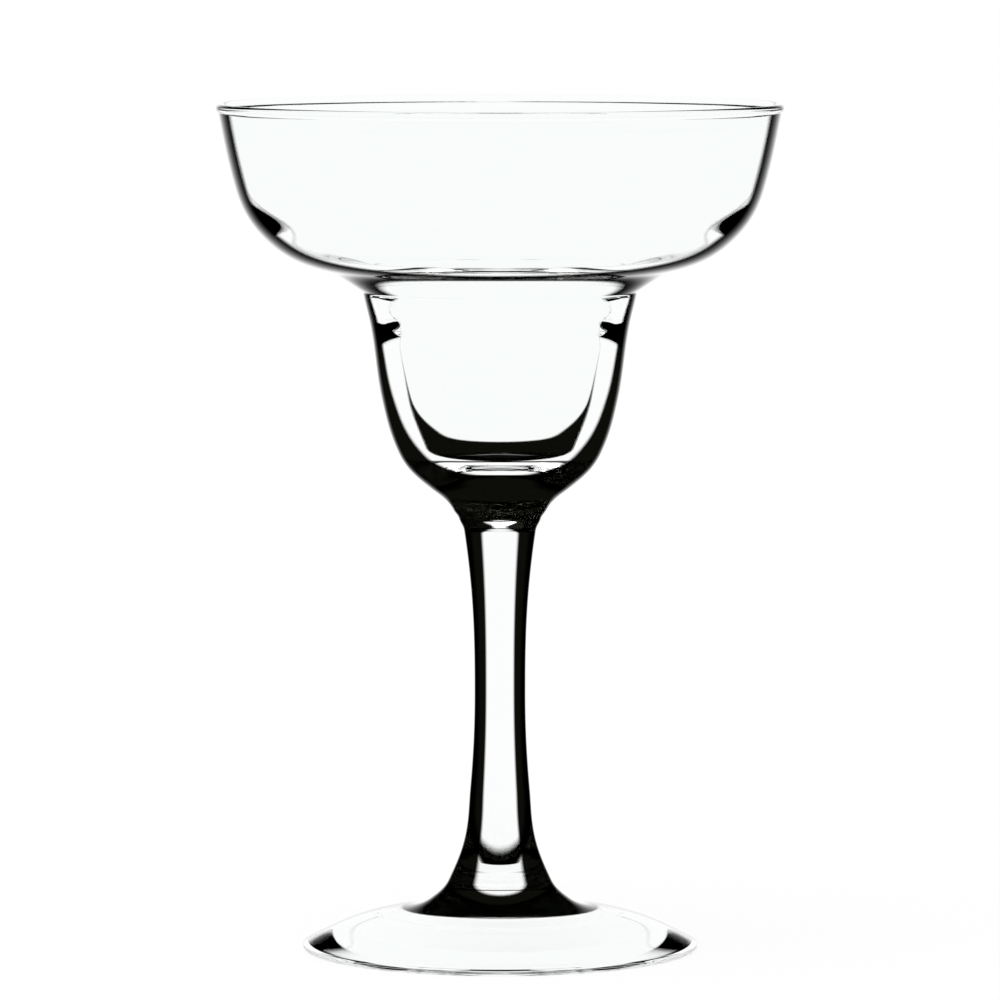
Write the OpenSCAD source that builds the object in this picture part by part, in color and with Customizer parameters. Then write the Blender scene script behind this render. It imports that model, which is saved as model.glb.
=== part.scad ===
// Margarita glass: a pressed foot, a drawn stem and a blown bowl, fused end to end.
// Sizes are in millimetres. The glass stands on z = 0 and is turned about the z axis.

/* [Foot] */
// Radius of the foot at its widest
foot_r = 40.2; // [37:0.1:44]
// Thickness of the rounded edge of the foot
foot_edge_h = 1.5; // [1.2:0.1:2.2]
// Radius half way across the plate of the foot
foot_plate_r = 23.7; // [22:0.1:26]
// Height of the upper face there
foot_plate_h = 7.5; // [7:0.1:8.2]
// Thickness of the plate there
foot_plate_wall = 1.8; // [1.5:0.1:2.4]
// Radius where the plate turns up into the post
foot_root_r = 14; // [12.8:0.1:15.4]
// Height of the upper face there
foot_root_h = 10.2; // [9.5:0.1:11]
// Radius half way up the flare of the post
foot_flare_r = 10.4; // [9.8:0.1:11]
// Height of that point of the flare
foot_flare_h = 14.1; // [13:0.1:15.2]
// Width of the flat ring that the foot rests on
foot_ring_w = 1.2; // [0.8:0.1:2]
// Radius where the hollow underside starts to level out
foot_bend_r = 29.2; // [28:0.1:31]
// Height of the hollow there
foot_bend_h = 3.7; // [3.2:0.1:4.1]
// Height of the hollow at its middle
foot_hollow_h = 9.2; // [7.4:0.1:10.4]
// Radius of the moulded step in the underside
foot_step_r = 24.7; // [22:0.1:27]
// Depth of that step
foot_step_h = 0.1; // [0.1:0.05:0.3]
// Height of the edge of the seat that takes the stem
foot_seat_h = 24.6; // [22:0.1:28]

/* [Stem] */
// Radius of the fused joint between the foot and the stem
stem_seat_r = 6.8; // [6.3:0.1:7.2]
// Depth of the rounded lower end of the stem
stem_seat_sag = 2.6; // [1.6:0.1:3.4]
// Length of the stem from the edge of its lower joint to its upper joint
stem_len = 63.1; // [52:0.1:80]
// Radius of the stem at its waist
stem_waist_r = 5.18; // [4.6:0.02:5.6]
// Length of the flare under the upper joint
stem_flare_h = 2.4; // [1.8:0.1:3.2]
// Radius of the fused joint between the stem and the bowl
stem_top_r = 8.3; // [7.8:0.1:8.8]

/* [Cup] */
// Height of the cup from the upper joint to the crease under the dish
cup_h = 46.2; // [42:0.1:52]
// Outer radius of the cup at the crease
cup_mouth_r = 27.8; // [27:0.1:29.5]
// Outer radius of the cup near its top
cup_side_r = 26.3; // [25.6:0.1:26.7]
// Outer radius of the cup half way down
cup_waist_r = 24; // [23.4:0.1:24.8]
// Outer radius of the cup where its side rounds into the bottom
cup_turn_r = 20.6; // [19.8:0.1:21.6]
// Outer radius of the bottom where it draws in to the button
cup_base_r = 14.3; // [13.4:0.1:15.2]
// Radius of the button just above the upper joint
cup_button_r = 9.5; // [9.1:0.1:10.2]
// Wall of the cup half way down
cup_wall = 5.2; // [4.4:0.1:6]
// Wall where the side rounds into the bottom
cup_turn_wall = 5.4; // [4.8:0.1:6.4]
// Wall near the top of the cup
cup_top_wall = 5.4; // [4.8:0.1:6]
// Distance inward from the crease to the throat, where the inside opens into the dish
cup_throat_wall = 4.6; // [4:0.1:5.2]
// Thickness of the solid bottom of the cup above the joint
cup_floor_h = 12.9; // [11.5:0.1:14]

/* [Dish] */
// Height of the dish from the crease to the rim
dish_h = 38.1; // [34:0.1:43]
// Outer radius of the wall just under the rim bead
dish_rim_r = 57; // [55:0.1:60]
// Outer radius of the wall on the side of the dish
dish_side_r = 53.6; // [52:0.1:54.4]
// Outer radius of the rounded corner between side and underside
dish_corner_r = 47.3; // [46:0.1:48.5]
// Outer radius on the underside of the dish
dish_under_r = 36.4; // [34.5:0.1:38.5]
// Wall of the side of the dish
dish_side_wall = 1.7; // [1.4:0.1:2.2]
// Wall at the rounded corner
dish_corner_wall = 2.4; // [1.9:0.1:3]
// Wall of the underside of the dish
dish_under_wall = 2.4; // [1.9:0.1:3]
// Wall at the shoulder where the dish falls into the cup
dish_shoulder_wall = 2.1; // [1.7:0.1:2.7]
// Radius of the round in the crease under the dish
dish_crease_r = 0.7; // [0.4:0.1:1.6]
// Radius of the round bead on the rim
rim_bead_r = 0.95; // [0.85:0.05:1.15]
// How far the bead stands out past the wall
rim_bead_out = 0.5; // [0.3:0.05:0.7]

/* [Hidden] */

$fn = 96;
// Steps in a curve between two stations, and in a round stretch
curve_steps = 12;
arc_steps = 10;
// Reach of a curve's handles as a share of the distance between its ends
handle_share = 0.37;
glass_colour = [0.86, 0.9, 0.89, 0.45];

// Headings of the foot's outline, in degrees, as it runs down and outward
foot_seat_heading = -81;
foot_flare_heading = -65;
foot_root_heading = -37;
foot_plate_heading = -9;
foot_brim_heading = -28;
foot_edge_r = foot_edge_h / 2;
foot_edge_mid = foot_r - foot_edge_r;

// Headings of the hollow underside as it runs inward
hollow_edge_heading = 156;
hollow_bend_heading = 157;

// Heights of the joints, the crease and the rim
joint_low_z = foot_seat_h;
joint_top_z = joint_low_z + stem_len;
crease_z = joint_top_z + cup_h;
rim_z = crease_z + dish_h;

// Places on the stem as shares of its length and of its change in radius
stem_taper_share = 0.124;
stem_taper_r_share = 0.57;
stem_waist_share = 0.447;
stem_flare_r_share = 0.68;
stem_taper_heading = 95;
stem_waist_heading = 90;
stem_flare_heading = 81.5;

// Heights on the cup as shares of its height, and headings as its outline runs up
cup_button_share = 0.041;
cup_base_share = 0.139;
cup_turn_share = 0.292;
cup_waist_share = 0.53;
cup_side_share = 0.855;
joint_heading = 71;
cup_button_heading = 61;
cup_base_heading = 38;
cup_turn_heading = 65;
cup_waist_heading = 78;
cup_side_heading = 79;
cup_mouth_heading = 80;

// The same for the cup's inside, where headings run down
cup_top_share = 0.76;
cup_throat_share = 0.894;
cup_top_heading = 257;
cup_throat_heading = 244;

// Heights on the dish as shares of its height, and headings as its outline runs up
dish_under_share = 0.118;
dish_corner_share = 0.274;
dish_side_share = 0.554;
dish_crease_heading = 32;
dish_under_heading = 15;
dish_corner_heading = 44;
dish_side_heading = 74;
dish_rim_heading = 79;

// The same for the dish's inside, and the direction from the crease to the shoulder inside it
bead_inner_heading = 263;
under_inner_heading = 191;
shoulder_heading = 232;
shoulder_direction = 125;

// The point at distance d from p in direction a
function aim(p, a, d) = [p[0] + d * cos(a), p[1] + d * sin(a)];

// Curve between two stations, each of them [radius, height, heading], without its first point
function leg(a, b) = let(
    p = [a[0], a[1]],
    q = [b[0], b[1]],
    reach = handle_share * norm(q - p),
    p_handle = aim(p, a[2], reach),
    q_handle = aim(q, b[2], -reach)
) [for (i = [1:curve_steps]) let(t = i / curve_steps, s = 1 - t)
    s * s * s * p + 3 * s * s * t * p_handle + 3 * s * t * t * q_handle + t * t * t * q];

// Smooth outline through a list of stations
function through(list) = concat([[list[0][0], list[0][1]]],
    [for (k = [1:len(list) - 1]) each leg(list[k - 1], list[k])]);

// Round stretch about a centre, from one angle to another
function arc(centre, r, from, to) =
    [for (i = [0:arc_steps]) aim(centre, from + (to - from) * i / arc_steps, r)];

// A station moved by a wall's thickness to the left of its heading
function inset(station, wall) =
    let(p = aim(station, station[2] + 90, wall)) [p[0], p[1], station[2]];

// A station that looks back
function turned(station) = [station[0], station[1], station[2] + 180];

// The rounded face of the lower joint, from the axis to its edge
seat_r = (stem_seat_r * stem_seat_r + stem_seat_sag * stem_seat_sag) / (2 * stem_seat_sag);
seat_centre = [0, joint_low_z - stem_seat_sag + seat_r];
seat_half_angle = asin(stem_seat_r / seat_r);
seat_face = arc(seat_centre, seat_r, -90, seat_half_angle - 90);

foot_brim = aim([foot_edge_mid, foot_edge_r], foot_brim_heading + 90, foot_edge_r);
foot_plate = [foot_plate_r, foot_plate_h, foot_plate_heading];
foot_top = through([
    [stem_seat_r, joint_low_z, foot_seat_heading],
    [foot_flare_r, foot_flare_h, foot_flare_heading],
    [foot_root_r, foot_root_h, foot_root_heading],
    foot_plate,
    [foot_brim[0], foot_brim[1], foot_brim_heading]]);
foot_edge = arc([foot_edge_mid, foot_edge_r], foot_edge_r, foot_brim_heading + 90, -90);

// The hollow underside from the flat ring to the axis, with a step at one radius
hollow = through([
    [foot_edge_mid - foot_ring_w, 0, hollow_edge_heading],
    [foot_bend_r, foot_bend_h, hollow_bend_heading],
    turned(inset(foot_plate, -foot_plate_wall)),
    [0, foot_hollow_h, 180]]);
hollow_outer = [for (p = hollow) if (p[0] > foot_step_r) p];
hollow_inner = [for (p = hollow) if (p[0] <= foot_step_r) [p[0], p[1] + foot_step_h]];

// The side of the stem, from its lower joint up
stem_side = through([
    [stem_seat_r, joint_low_z, foot_seat_heading + 180],
    [stem_waist_r + stem_taper_r_share * (stem_seat_r - stem_waist_r),
        joint_low_z + stem_taper_share * stem_len, stem_taper_heading],
    [stem_waist_r, joint_low_z + stem_waist_share * stem_len, stem_waist_heading],
    [stem_waist_r + stem_flare_r_share * (stem_top_r - stem_waist_r),
        joint_top_z - stem_flare_h, stem_flare_heading],
    [stem_top_r, joint_top_z, joint_heading]]);

// Stations of the bowl's outer face, from the upper joint up
cup_turn = [cup_turn_r, joint_top_z + cup_turn_share * cup_h, cup_turn_heading];
cup_waist = [cup_waist_r, joint_top_z + cup_waist_share * cup_h, cup_waist_heading];
cup_side = [cup_side_r, joint_top_z + cup_side_share * cup_h, cup_side_heading];
dish_under = [dish_under_r, crease_z + dish_under_share * dish_h, dish_under_heading];
dish_corner = [dish_corner_r, crease_z + dish_corner_share * dish_h, dish_corner_heading];
dish_side = [dish_side_r, crease_z + dish_side_share * dish_h, dish_side_heading];

// The rounded crease between cup and dish lies in the corner that their faces would make
crease_turn = (cup_mouth_heading - dish_crease_heading) / 2;
crease_reach = dish_crease_r * tan(crease_turn);
crease_corner = [cup_mouth_r, crease_z];
crease_foot = aim(crease_corner, cup_mouth_heading, -crease_reach);
crease_centre = aim(crease_foot, cup_mouth_heading - 90, dish_crease_r);
crease = arc(crease_centre, dish_crease_r, cup_mouth_heading + 90, dish_crease_heading + 90);
crease_end = crease[arc_steps];

bead_centre = [dish_rim_r + rim_bead_out - rim_bead_r, rim_z - rim_bead_r];
bead_foot_angle = -acos((rim_bead_r - rim_bead_out) / rim_bead_r);
bead = arc(bead_centre, rim_bead_r, bead_foot_angle, 180);
bead_foot = bead[0];
bead_inner = bead[arc_steps];

bowl_outer = concat(
    through([
        [stem_top_r, joint_top_z, joint_heading],
        [cup_button_r, joint_top_z + cup_button_share * cup_h, cup_button_heading],
        [cup_base_r, joint_top_z + cup_base_share * cup_h, cup_base_heading],
        cup_turn,
        cup_waist,
        cup_side,
        [crease_foot[0], crease_foot[1], cup_mouth_heading]]),
    crease,
    through([
        [crease_end[0], crease_end[1], dish_crease_heading],
        dish_under,
        dish_corner,
        dish_side,
        [bead_foot[0], bead_foot[1], dish_rim_heading]]));

// Stations of the bowl's inner face, from the rim down
under_inner = inset(dish_under, dish_under_wall);
shoulder = aim(crease_corner, shoulder_direction, dish_shoulder_wall);
bowl_inner = through([
    [bead_inner[0], bead_inner[1], bead_inner_heading],
    turned(inset(dish_side, dish_side_wall)),
    turned(inset(dish_corner, dish_corner_wall)),
    [under_inner[0], under_inner[1], under_inner_heading],
    [shoulder[0], shoulder[1], shoulder_heading],
    [cup_mouth_r - cup_throat_wall, joint_top_z + cup_throat_share * cup_h, cup_throat_heading],
    [cup_side_r - cup_top_wall, joint_top_z + cup_top_share * cup_h, cup_top_heading],
    turned(inset(cup_waist, cup_wall)),
    turned(inset(cup_turn, cup_turn_wall)),
    [0, joint_top_z + cup_floor_h, 180]]);

module foot() {
    color(glass_colour)
    rotate_extrude()
    polygon(concat(seat_face, foot_top, foot_edge, hollow_outer, hollow_inner));
}

module stem() {
    color(glass_colour)
    rotate_extrude()
    polygon(concat(seat_face, stem_side, [[0, joint_top_z]]));
}

module bowl() {
    color(glass_colour)
    rotate_extrude()
    polygon(concat([[0, joint_top_z]], bowl_outer, bead, bowl_inner));
}

foot();
stem();
bowl();
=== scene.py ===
import math

import bmesh
import bpy
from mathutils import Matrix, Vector


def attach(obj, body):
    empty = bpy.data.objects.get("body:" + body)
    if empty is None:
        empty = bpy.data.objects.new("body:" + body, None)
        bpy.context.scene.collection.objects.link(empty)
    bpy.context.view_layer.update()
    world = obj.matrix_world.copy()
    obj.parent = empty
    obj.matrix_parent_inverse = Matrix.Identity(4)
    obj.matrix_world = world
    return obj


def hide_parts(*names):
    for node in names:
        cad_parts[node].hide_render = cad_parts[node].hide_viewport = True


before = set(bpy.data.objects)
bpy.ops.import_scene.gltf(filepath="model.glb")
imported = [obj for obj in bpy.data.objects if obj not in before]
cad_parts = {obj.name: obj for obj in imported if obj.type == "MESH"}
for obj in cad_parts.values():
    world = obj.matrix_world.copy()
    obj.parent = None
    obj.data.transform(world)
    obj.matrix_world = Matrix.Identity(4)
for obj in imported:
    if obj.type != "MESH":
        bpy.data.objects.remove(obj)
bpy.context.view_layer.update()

MM = 0.001
QUARTER_TURN = 90
HALF_TURN = 180
SAME_PLACE = 1e-7

# Fineness of the turned meshes
SEGMENTS = 256
CURVE_STEPS = 24
ARC_STEPS = 16
HANDLE_SHARE = 0.37

# Foot, in millimetres, and headings in degrees
FOOT_R = 40.2
FOOT_EDGE_H = 1.5
FOOT_PLATE_R = 23.7
FOOT_PLATE_H = 7.5
FOOT_PLATE_WALL = 1.8
FOOT_ROOT_R = 14.0
FOOT_ROOT_H = 10.2
FOOT_FLARE_R = 10.4
FOOT_FLARE_H = 14.1
FOOT_RING_W = 1.2
FOOT_BEND_R = 29.2
FOOT_BEND_H = 3.7
FOOT_HOLLOW_H = 9.2
FOOT_STEP_R = 24.7
FOOT_STEP_H = 0.1
FOOT_SEAT_H = 24.6
FOOT_SEAT_HEADING = -81
FOOT_FLARE_HEADING = -65
FOOT_ROOT_HEADING = -37
FOOT_PLATE_HEADING = -9
FOOT_BRIM_HEADING = -28
HOLLOW_EDGE_HEADING = 156
HOLLOW_BEND_HEADING = 157

# Stem
STEM_SEAT_R = 6.8
STEM_SEAT_SAG = 2.6
STEM_LEN = 63.1
STEM_WAIST_R = 5.18
STEM_FLARE_H = 2.4
STEM_TOP_R = 8.3
STEM_TAPER_HEADING = 95
STEM_WAIST_HEADING = 90
STEM_FLARE_HEADING = 81.5
STEM_TAPER_SHARE = 0.124
STEM_TAPER_R_SHARE = 0.57
STEM_WAIST_SHARE = 0.447
STEM_FLARE_R_SHARE = 0.68

# Cup
CUP_H = 46.2
CUP_MOUTH_R = 27.8
CUP_SIDE_R = 26.3
CUP_WAIST_R = 24.0
CUP_TURN_R = 20.6
CUP_BASE_R = 14.3
CUP_BUTTON_R = 9.5
CUP_WALL = 5.2
CUP_TURN_WALL = 5.4
CUP_TOP_WALL = 5.4
CUP_THROAT_WALL = 4.6
CUP_FLOOR_H = 12.9
CUP_BUTTON_SHARE = 0.041
CUP_BASE_SHARE = 0.139
CUP_TURN_SHARE = 0.292
CUP_WAIST_SHARE = 0.53
CUP_SIDE_SHARE = 0.855
CUP_TOP_SHARE = 0.76
CUP_THROAT_SHARE = 0.894
JOINT_HEADING = 71
CUP_BUTTON_HEADING = 61
CUP_BASE_HEADING = 38
CUP_TURN_HEADING = 65
CUP_WAIST_HEADING = 78
CUP_SIDE_HEADING = 79
CUP_MOUTH_HEADING = 80
CUP_TOP_HEADING = 257
CUP_THROAT_HEADING = 244

# Dish
DISH_H = 38.1
DISH_RIM_R = 57.0
DISH_SIDE_R = 53.6
DISH_CORNER_R = 47.3
DISH_UNDER_R = 36.4
DISH_SIDE_WALL = 1.7
DISH_CORNER_WALL = 2.4
DISH_UNDER_WALL = 2.4
DISH_SHOULDER_WALL = 2.1
DISH_CREASE_R = 0.7
DISH_UNDER_SHARE = 0.118
DISH_CORNER_SHARE = 0.274
DISH_SIDE_SHARE = 0.554
DISH_CREASE_HEADING = 32
DISH_UNDER_HEADING = 15
DISH_CORNER_HEADING = 44
DISH_SIDE_HEADING = 74
DISH_RIM_HEADING = 79
UNDER_INNER_HEADING = 191
SHOULDER_HEADING = 232
SHOULDER_DIRECTION = 125
BEAD_INNER_HEADING = 263
BEAD_R = 0.95
BEAD_OUT = 0.5

JOINT_LOW = FOOT_SEAT_H
JOINT_TOP = JOINT_LOW + STEM_LEN
CREASE_Z = JOINT_TOP + CUP_H
RIM_Z = CREASE_Z + DISH_H

# The material slots of a piece
OUTSIDE = 0
JOINT = 1
INSIDE = 2


def aim(p, angle, d):
    """The point at distance d from p in the direction of the angle."""
    a = math.radians(angle)
    return (p[0] + d * math.cos(a), p[1] + d * math.sin(a))


def leg(a, b):
    """A smooth curve from station a to station b. A station is a radius, a height and a heading."""
    p, q = a[:2], b[:2]
    reach = HANDLE_SHARE * math.dist(p, q)
    ends = (p, aim(p, a[2], reach), aim(q, b[2], -reach), q)
    points = []
    for i in range(1, CURVE_STEPS + 1):
        t = i / CURVE_STEPS
        s = 1 - t
        shares = (s * s * s, 3 * s * s * t, 3 * s * t * t, t * t * t)
        points.append(tuple(sum(k * c[j] for k, c in zip(shares, ends)) for j in (0, 1)))
    return points


def through(stations):
    points = [tuple(stations[0][:2])]
    for a, b in zip(stations, stations[1:]):
        points += leg(a, b)
    return points


def arc(centre, r, start, end):
    return [aim(centre, start + (end - start) * i / ARC_STEPS, r) for i in range(ARC_STEPS + 1)]


def inner(station, wall, heading=None):
    """The station across the wall, which heads back."""
    p = aim(station, station[2] + QUARTER_TURN, wall)
    return (p[0], p[1], station[2] + HALF_TURN if heading is None else heading)


def seat_face():
    r = (STEM_SEAT_R ** 2 + STEM_SEAT_SAG ** 2) / (2 * STEM_SEAT_SAG)
    half = math.degrees(math.asin(STEM_SEAT_R / r))
    return arc((0, JOINT_LOW - STEM_SEAT_SAG + r), r, -QUARTER_TURN, half - QUARTER_TURN)


def foot_runs():
    edge_r = FOOT_EDGE_H / 2
    edge_mid = FOOT_R - edge_r
    brim = aim((edge_mid, edge_r), FOOT_BRIM_HEADING + QUARTER_TURN, edge_r)
    plate = (FOOT_PLATE_R, FOOT_PLATE_H, FOOT_PLATE_HEADING)
    top = through([
        (STEM_SEAT_R, JOINT_LOW, FOOT_SEAT_HEADING),
        (FOOT_FLARE_R, FOOT_FLARE_H, FOOT_FLARE_HEADING),
        (FOOT_ROOT_R, FOOT_ROOT_H, FOOT_ROOT_HEADING),
        plate,
        brim + (FOOT_BRIM_HEADING,)])
    edge = arc((edge_mid, edge_r), edge_r, FOOT_BRIM_HEADING + QUARTER_TURN, -QUARTER_TURN)
    hollow = through([
        (edge_mid - FOOT_RING_W, 0, HOLLOW_EDGE_HEADING),
        (FOOT_BEND_R, FOOT_BEND_H, HOLLOW_BEND_HEADING),
        inner(plate, -FOOT_PLATE_WALL),
        (0, FOOT_HOLLOW_H, HALF_TURN)])
    rim = [p for p in hollow if p[0] > FOOT_STEP_R]
    middle = [(r, z + FOOT_STEP_H) for r, z in hollow if r <= FOOT_STEP_R]
    return [
        (seat_face(), JOINT),
        (top + edge[1:], OUTSIDE),
        ([edge[-1], rim[0]], INSIDE),
        (rim, INSIDE),
        ([rim[-1], middle[0]], INSIDE),
        (middle, INSIDE)]


def stem_runs():
    taper_r = STEM_WAIST_R + STEM_TAPER_R_SHARE * (STEM_SEAT_R - STEM_WAIST_R)
    flare_r = STEM_WAIST_R + STEM_FLARE_R_SHARE * (STEM_TOP_R - STEM_WAIST_R)
    side = through([
        (STEM_SEAT_R, JOINT_LOW, FOOT_SEAT_HEADING + HALF_TURN),
        (taper_r, JOINT_LOW + STEM_TAPER_SHARE * STEM_LEN, STEM_TAPER_HEADING),
        (STEM_WAIST_R, JOINT_LOW + STEM_WAIST_SHARE * STEM_LEN, STEM_WAIST_HEADING),
        (flare_r, JOINT_TOP - STEM_FLARE_H, STEM_FLARE_HEADING),
        (STEM_TOP_R, JOINT_TOP, JOINT_HEADING)])
    return [(seat_face(), JOINT), (side, OUTSIDE), ([side[-1], (0, JOINT_TOP)], JOINT)]


def bead_points():
    centre = (DISH_RIM_R + BEAD_OUT - BEAD_R, RIM_Z - BEAD_R)
    start = -math.degrees(math.acos((BEAD_R - BEAD_OUT) / BEAD_R))
    return arc(centre, BEAD_R, start, HALF_TURN)


def bowl_runs():
    turn = (CUP_TURN_R, JOINT_TOP + CUP_TURN_SHARE * CUP_H, CUP_TURN_HEADING)
    waist = (CUP_WAIST_R, JOINT_TOP + CUP_WAIST_SHARE * CUP_H, CUP_WAIST_HEADING)
    side = (CUP_SIDE_R, JOINT_TOP + CUP_SIDE_SHARE * CUP_H, CUP_SIDE_HEADING)
    under = (DISH_UNDER_R, CREASE_Z + DISH_UNDER_SHARE * DISH_H, DISH_UNDER_HEADING)
    corner = (DISH_CORNER_R, CREASE_Z + DISH_CORNER_SHARE * DISH_H, DISH_CORNER_HEADING)
    dish = (DISH_SIDE_R, CREASE_Z + DISH_SIDE_SHARE * DISH_H, DISH_SIDE_HEADING)
    mouth = (CUP_MOUTH_R, CREASE_Z)
    reach = DISH_CREASE_R * math.tan(math.radians((CUP_MOUTH_HEADING - DISH_CREASE_HEADING) / 2))
    crease_foot = aim(mouth, CUP_MOUTH_HEADING, -reach)
    crease_centre = aim(crease_foot, CUP_MOUTH_HEADING - QUARTER_TURN, DISH_CREASE_R)
    crease = arc(
        crease_centre, DISH_CREASE_R,
        CUP_MOUTH_HEADING + QUARTER_TURN, DISH_CREASE_HEADING + QUARTER_TURN)
    bead = bead_points()
    cup_outer = through([
        (STEM_TOP_R, JOINT_TOP, JOINT_HEADING),
        (CUP_BUTTON_R, JOINT_TOP + CUP_BUTTON_SHARE * CUP_H, CUP_BUTTON_HEADING),
        (CUP_BASE_R, JOINT_TOP + CUP_BASE_SHARE * CUP_H, CUP_BASE_HEADING),
        turn, waist, side,
        crease_foot + (CUP_MOUTH_HEADING,)])
    dish_outer = through([
        crease[-1] + (DISH_CREASE_HEADING,),
        under, corner, dish,
        bead[0] + (DISH_RIM_HEADING,)])
    inside = through([
        bead[-1] + (BEAD_INNER_HEADING,),
        inner(dish, DISH_SIDE_WALL),
        inner(corner, DISH_CORNER_WALL),
        inner(under, DISH_UNDER_WALL, UNDER_INNER_HEADING),
        aim(mouth, SHOULDER_DIRECTION, DISH_SHOULDER_WALL) + (SHOULDER_HEADING,),
        (CUP_MOUTH_R - CUP_THROAT_WALL, JOINT_TOP + CUP_THROAT_SHARE * CUP_H, CUP_THROAT_HEADING),
        (CUP_SIDE_R - CUP_TOP_WALL, JOINT_TOP + CUP_TOP_SHARE * CUP_H, CUP_TOP_HEADING),
        inner(waist, CUP_WALL),
        inner(turn, CUP_TURN_WALL),
        (0, JOINT_TOP + CUP_FLOOR_H, HALF_TURN)])
    return [
        ([(0, JOINT_TOP), (STEM_TOP_R, JOINT_TOP)], JOINT),
        (cup_outer + crease[1:] + dish_outer[1:], OUTSIDE),
        (bead + inside[1:], INSIDE)]


def joined(runs):
    """One outline in metres, the material slot of each of its stretches, and its corners between runs."""
    profile, slots, corners = [], [], []
    for k, (points, slot) in enumerate(runs):
        points = [(max(0.0, r) * MM, z * MM) for r, z in points]
        if profile and math.dist(profile[-1], points[0]) < SAME_PLACE:
            points = points[1:]
        if k:
            corners.append(len(profile) - 1)
        for p in points:
            if profile:
                slots.append(slot)
            profile.append(p)
    return profile, slots, corners


def rings_of(profile):
    """The points of the turned outline, and each ring of them. A ring on the axis is one point."""
    verts, rings = [], []
    for r, z in profile:
        start = len(verts)
        if r < SAME_PLACE:
            rings.append([start] * SEGMENTS)
            verts.append((0, 0, z))
        else:
            rings.append(list(range(start, start + SEGMENTS)))
            for j in range(SEGMENTS):
                a = math.tau * j / SEGMENTS
                verts.append((r * math.cos(a), r * math.sin(a), z))
    return verts, rings


def faces_of(rings, slots):
    faces, face_slots = [], []
    for a, b, slot in zip(rings, rings[1:], slots):
        for j in range(SEGMENTS):
            k = (j + 1) % SEGMENTS
            faces.append(list(dict.fromkeys((a[j], a[k], b[k], b[j]))))
            face_slots.append(slot)
    return faces, face_slots


def turned(name, runs, materials):
    """Turns the runs about the z axis. A run is a list of (radius, height) and its material slot."""
    profile, slots, corners = joined(runs)
    verts, rings = rings_of(profile)
    faces, face_slots = faces_of(rings, slots)
    mesh = bpy.data.meshes.new(name)
    mesh.from_pydata(verts, [], faces)
    mesh.polygons.foreach_set("material_index", face_slots)
    mesh.polygons.foreach_set("use_smooth", [True] * len(faces))
    hard = set()
    for c in corners:
        ring = rings[c]
        hard |= {tuple(sorted((ring[j], ring[(j + 1) % SEGMENTS]))) for j in range(SEGMENTS)}
    for e in mesh.edges:
        e.use_edge_sharp = tuple(sorted(e.vertices)) in hard
    shape = bmesh.new()
    shape.from_mesh(mesh)
    bmesh.ops.recalc_face_normals(shape, faces=shape.faces)
    shape.to_mesh(mesh)
    shape.free()
    for m in materials:
        mesh.materials.append(m)
    piece = bpy.data.objects.new(name, mesh)
    bpy.context.scene.collection.objects.link(piece)
    return piece


# The sockets of a colour mix that share their names with others
MIX_FIRST = 6
MIX_SECOND = 7
MIX_RESULT = 2


def put(tree, socket, value):
    """Gives a socket its value: a number, a colour, or the output of another node."""
    if isinstance(value, (int, float, tuple)):
        socket.default_value = value
    else:
        tree.links.new(value, socket)


def fill(tree, node, *values):
    """Gives a node's first sockets their values, and returns its first output."""
    for socket, value in zip(node.inputs, values):
        put(tree, socket, value)
    return node.outputs[0]


def calc(tree, operation, *values):
    node = tree.nodes.new("ShaderNodeMath")
    node.operation = operation
    return fill(tree, node, *values)


def fade(tree, value, low, high, at_low=0.0, at_high=1.0):
    node = tree.nodes.new("ShaderNodeMapRange")
    node.interpolation_type = "SMOOTHSTEP"
    return fill(tree, node, value, low, high, at_low, at_high)


def product(tree, *values):
    total = values[0]
    for v in values[1:]:
        total = calc(tree, "MULTIPLY", total, v)
    return total


def length(tree, x, y):
    return calc(tree, "SQRT", calc(tree, "ADD", product(tree, x, x), product(tree, y, y)))


def grain(tree, place, scale):
    """Noise, with values about 0.5."""
    node = tree.nodes.new("ShaderNodeTexNoise")
    put(tree, node.inputs["Vector"], place)
    put(tree, node.inputs["Scale"], scale)
    return node.outputs[0]


def over(tree, colour, shade, mask):
    """The shade over the colour, where the mask is 1."""
    if isinstance(shade, (int, float)):
        shade = (shade, shade, shade)
    node = tree.nodes.new("ShaderNodeMix")
    node.data_type = "RGBA"
    put(tree, node.inputs[0], mask)
    put(tree, node.inputs[MIX_FIRST], colour)
    put(tree, node.inputs[MIX_SECOND], shade + (1.0,))
    return node.outputs[MIX_RESULT]


def new_material(name):
    material = bpy.data.materials.new(name)
    material.use_nodes = True
    material.node_tree.nodes.clear()
    tree = material.node_tree
    return material, tree, tree.nodes.new("ShaderNodeOutputMaterial")


CLEAR = (1.0, 1.0, 1.0, 1.0)
GLASS_TINT = (0.985, 0.992, 0.988, 1)
GLASS_IOR = 1.52
MIRROR_FROM = 0.25
MIRROR_FULL = 0.75
WAVE_SCALE = 90.0
WAVE_DEPTH = 0.004 * MM

# At this blend, Facing is one minus the cosine of the angle between the normal and the line of sight
COSINE_BLEND = 0.5

# Painted shade: the glass's refraction colour is painted dark where it is looked at less squarely than
# this, widely in solid glass, narrowly in a wall, standing in for dark surroundings seen through the
# glass
SOLID_EDGE = 0.84
BOWL_EDGE = 0.28
FOOT_EDGE = 0.10
INSIDE_EDGE = 0.12
EDGE_SOFT = 0.03
# Colour of the painted shade on the glass's edge
PAINTED_EDGE_SHADE = (0.004, 0.004, 0.003)

# How far from the axis the glass is solid, and from where it is a wall, which set how wide the painted
# dark edge is
SOLID_TO = 13 * MM
WALL_FROM = 21 * MM
BOWL_WALL_FROM = 30 * MM


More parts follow.
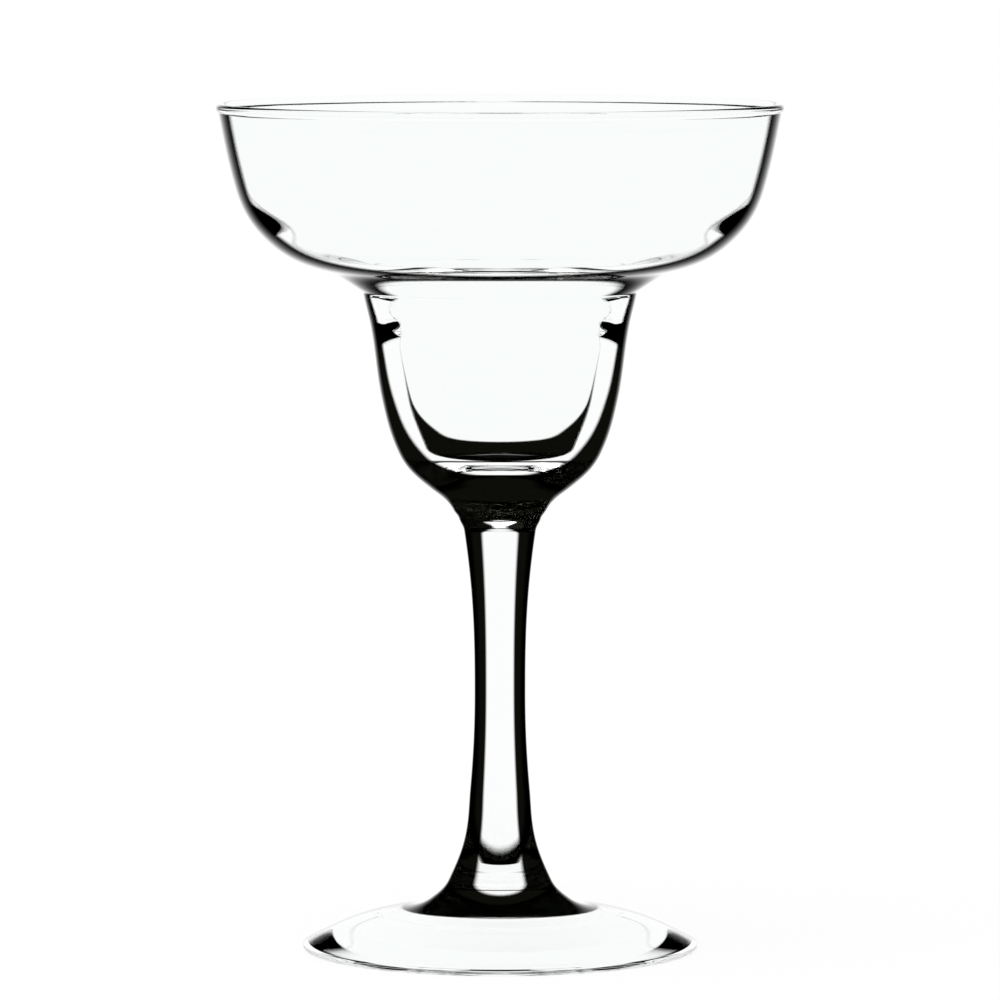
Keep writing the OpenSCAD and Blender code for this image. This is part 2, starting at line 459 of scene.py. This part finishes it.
def tint_and_painted_edge_shade(tree, place, wall_edge, wall_from):
    """The tint of the glass, with a painted dark edge: painted shade standing in for dark surroundings
    seen through the glass.
    """
    split = tree.nodes.new("ShaderNodeSeparateXYZ")
    put(tree, split.inputs[0], place)
    from_axis = length(tree, split.outputs[0], split.outputs[1])
    edge = fade(tree, from_axis, SOLID_TO, wall_from, SOLID_EDGE, wall_edge)
    layer = tree.nodes.new("ShaderNodeLayerWeight")
    put(tree, layer.inputs["Blend"], COSINE_BLEND)
    facing = calc(tree, "SUBTRACT", 1.0, layer.outputs["Facing"])
    low = calc(tree, "SUBTRACT", edge, EDGE_SOFT)
    high = calc(tree, "ADD", edge, EDGE_SOFT)
    # Painted shade: the dark edge laid over the glass tint where the surface is seen edge-on
    return over(tree, GLASS_TINT, PAINTED_EDGE_SHADE, fade(tree, facing, low, high, 1.0, 0.0))


def glass_material(name, wall_edge, wall_from=WALL_FROM):
    """Glass that bends and mirrors light, a little wavy, the same for every ray, with painted shade on
    its edge.
    """
    material, tree, out = new_material(name)
    place = tree.nodes.new("ShaderNodeTexCoord").outputs["Object"]
    bump = tree.nodes.new("ShaderNodeBump")
    put(tree, bump.inputs["Height"], grain(tree, place, WAVE_SCALE))
    put(tree, bump.inputs["Distance"], WAVE_DEPTH)
    bend = tree.nodes.new("ShaderNodeBsdfRefraction")
    # Painted shade: the refraction colour is dark at the edge, standing in for dark surroundings seen
    # through the glass
    put(tree, bend.inputs["Color"], tint_and_painted_edge_shade(tree, place, wall_edge, wall_from))
    put(tree, bend.inputs["Roughness"], 0.0)
    put(tree, bend.inputs["IOR"], GLASS_IOR)
    put(tree, bend.inputs["Normal"], bump.outputs[0])
    mirror = tree.nodes.new("ShaderNodeBsdfAnisotropic")
    put(tree, mirror.inputs["Color"], CLEAR)
    put(tree, mirror.inputs["Roughness"], 0.0)
    put(tree, mirror.inputs["Normal"], bump.outputs[0])
    fresnel = tree.nodes.new("ShaderNodeFresnel")
    put(tree, fresnel.inputs["IOR"], GLASS_IOR)
    put(tree, fresnel.inputs["Normal"], bump.outputs[0])
    share = fade(tree, fresnel.outputs[0], MIRROR_FROM, MIRROR_FULL)
    mix = tree.nodes.new("ShaderNodeMixShader")
    put(tree, out.inputs["Surface"], fill(tree, mix, share, bend.outputs[0], mirror.outputs[0]))
    return material


def fused_joint():
    material, tree, out = new_material("fused_joint")
    clear = tree.nodes.new("ShaderNodeBsdfTransparent")
    put(tree, out.inputs["Surface"], clear.outputs[0])
    return material


def build_glass():
    joint = fused_joint()
    inside = glass_material("glass_inside", INSIDE_EDGE)
    foot = glass_material("glass_foot", FOOT_EDGE)
    stem = glass_material("glass_stem", SOLID_EDGE)
    bowl = glass_material("glass_bowl", BOWL_EDGE, BOWL_WALL_FROM)
    pieces = (
        ("foot_glass", "foot", foot_runs(), foot),
        ("stem_glass", "stem", stem_runs(), stem),
        ("bowl_glass", "bowl", bowl_runs(), bowl))
    for name, node, runs, outside in pieces:
        piece = turned(name, runs, (outside, joint, inside))
        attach(piece, "root")
        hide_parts(node)


# Light: an even sky, a wide soft lamp, and a pale floor
SKY_LIGHT = 0.55
LAMP_LIGHT = 1.4
LAMP_ANGLE = math.radians(50)
LAMP_TILT = (math.radians(12), math.radians(-14), 0)
FLOOR_HALF = 4.0
FLOOR_GLOW = 0.905
FLOOR_SHADE = (0.1, 0.1, 0.1, 1.0)


def seen_as(tree, shown, light):
    """What the camera sees, straight, in a mirror or through glass, and the light that all else gets."""
    path = tree.nodes.new("ShaderNodeLightPath")
    bent = calc(tree, "MAXIMUM", path.outputs["Is Glossy Ray"], path.outputs["Is Transmission Ray"])
    seen = calc(tree, "MAXIMUM", path.outputs["Is Camera Ray"], bent)
    return fade(tree, seen, 0.0, 1.0, light, shown)


def build_floor():
    mesh = bpy.data.meshes.new("floor")
    s = FLOOR_HALF
    mesh.from_pydata([(-s, -s, 0), (s, -s, 0), (s, s, 0), (-s, s, 0)], [], [(0, 1, 2, 3)])
    floor = bpy.data.objects.new("floor", mesh)
    bpy.context.scene.collection.objects.link(floor)
    material, tree, out = new_material("floor")
    glow = tree.nodes.new("ShaderNodeEmission")
    put(tree, glow.inputs["Strength"], seen_as(tree, FLOOR_GLOW, 0.0))
    lit = tree.nodes.new("ShaderNodeBsdfDiffuse")
    put(tree, lit.inputs["Color"], FLOOR_SHADE)
    total = fill(tree, tree.nodes.new("ShaderNodeAddShader"), glow.outputs[0], lit.outputs[0])
    put(tree, out.inputs["Surface"], total)
    mesh.materials.append(material)


def build_world():
    world = bpy.data.worlds.new("studio")
    bpy.context.scene.world = world
    world.use_nodes = True
    tree = world.node_tree
    tree.nodes.clear()
    out = tree.nodes.new("ShaderNodeOutputWorld")
    sky = tree.nodes.new("ShaderNodeBackground")
    put(tree, sky.inputs["Color"], CLEAR)
    put(tree, sky.inputs["Strength"], seen_as(tree, 1.0, SKY_LIGHT))
    put(tree, out.inputs["Surface"], sky.outputs[0])


def build_lamp():
    data = bpy.data.lights.new("soft_lamp", "SUN")
    data.energy = LAMP_LIGHT
    data.angle = LAMP_ANGLE
    lamp = bpy.data.objects.new("soft_lamp", data)
    lamp.rotation_euler = LAMP_TILT
    bpy.context.scene.collection.objects.link(lamp)


# Camera, fitted to the ovals of the rim and the foot in the photo. Sensor and lens are in millimetres
CAMERA_SENSOR = 36
CAMERA_LENS = 267.23
CAMERA_CLIP = 0.05
CAMERA_PLACE = (0, -1.5, 0.2219)
CAMERA_TARGET = (0, 0, 0.09153)


def build_camera():
    data = bpy.data.cameras.new("camera")
    data.sensor_width = CAMERA_SENSOR
    data.lens = CAMERA_LENS
    data.clip_start = CAMERA_CLIP
    camera = bpy.data.objects.new("camera", data)
    bpy.context.scene.collection.objects.link(camera)
    camera.location = Vector(CAMERA_PLACE)
    view = Vector(CAMERA_TARGET) - camera.location
    camera.rotation_euler = view.to_track_quat("-Z", "Y").to_euler()
    bpy.context.scene.camera = camera


GLASS_BOUNCES = 32
MIRROR_BOUNCES = 16
CLEAR_BOUNCES = 16


def build_view():
    scene = bpy.context.scene
    scene.view_settings.view_transform = "Standard"
    scene.cycles.max_bounces = GLASS_BOUNCES
    scene.cycles.transmission_bounces = GLASS_BOUNCES
    scene.cycles.glossy_bounces = MIRROR_BOUNCES
    scene.cycles.transparent_max_bounces = CLEAR_BOUNCES


build_glass()
build_floor()
build_world()
build_lamp()
build_camera()
build_view()
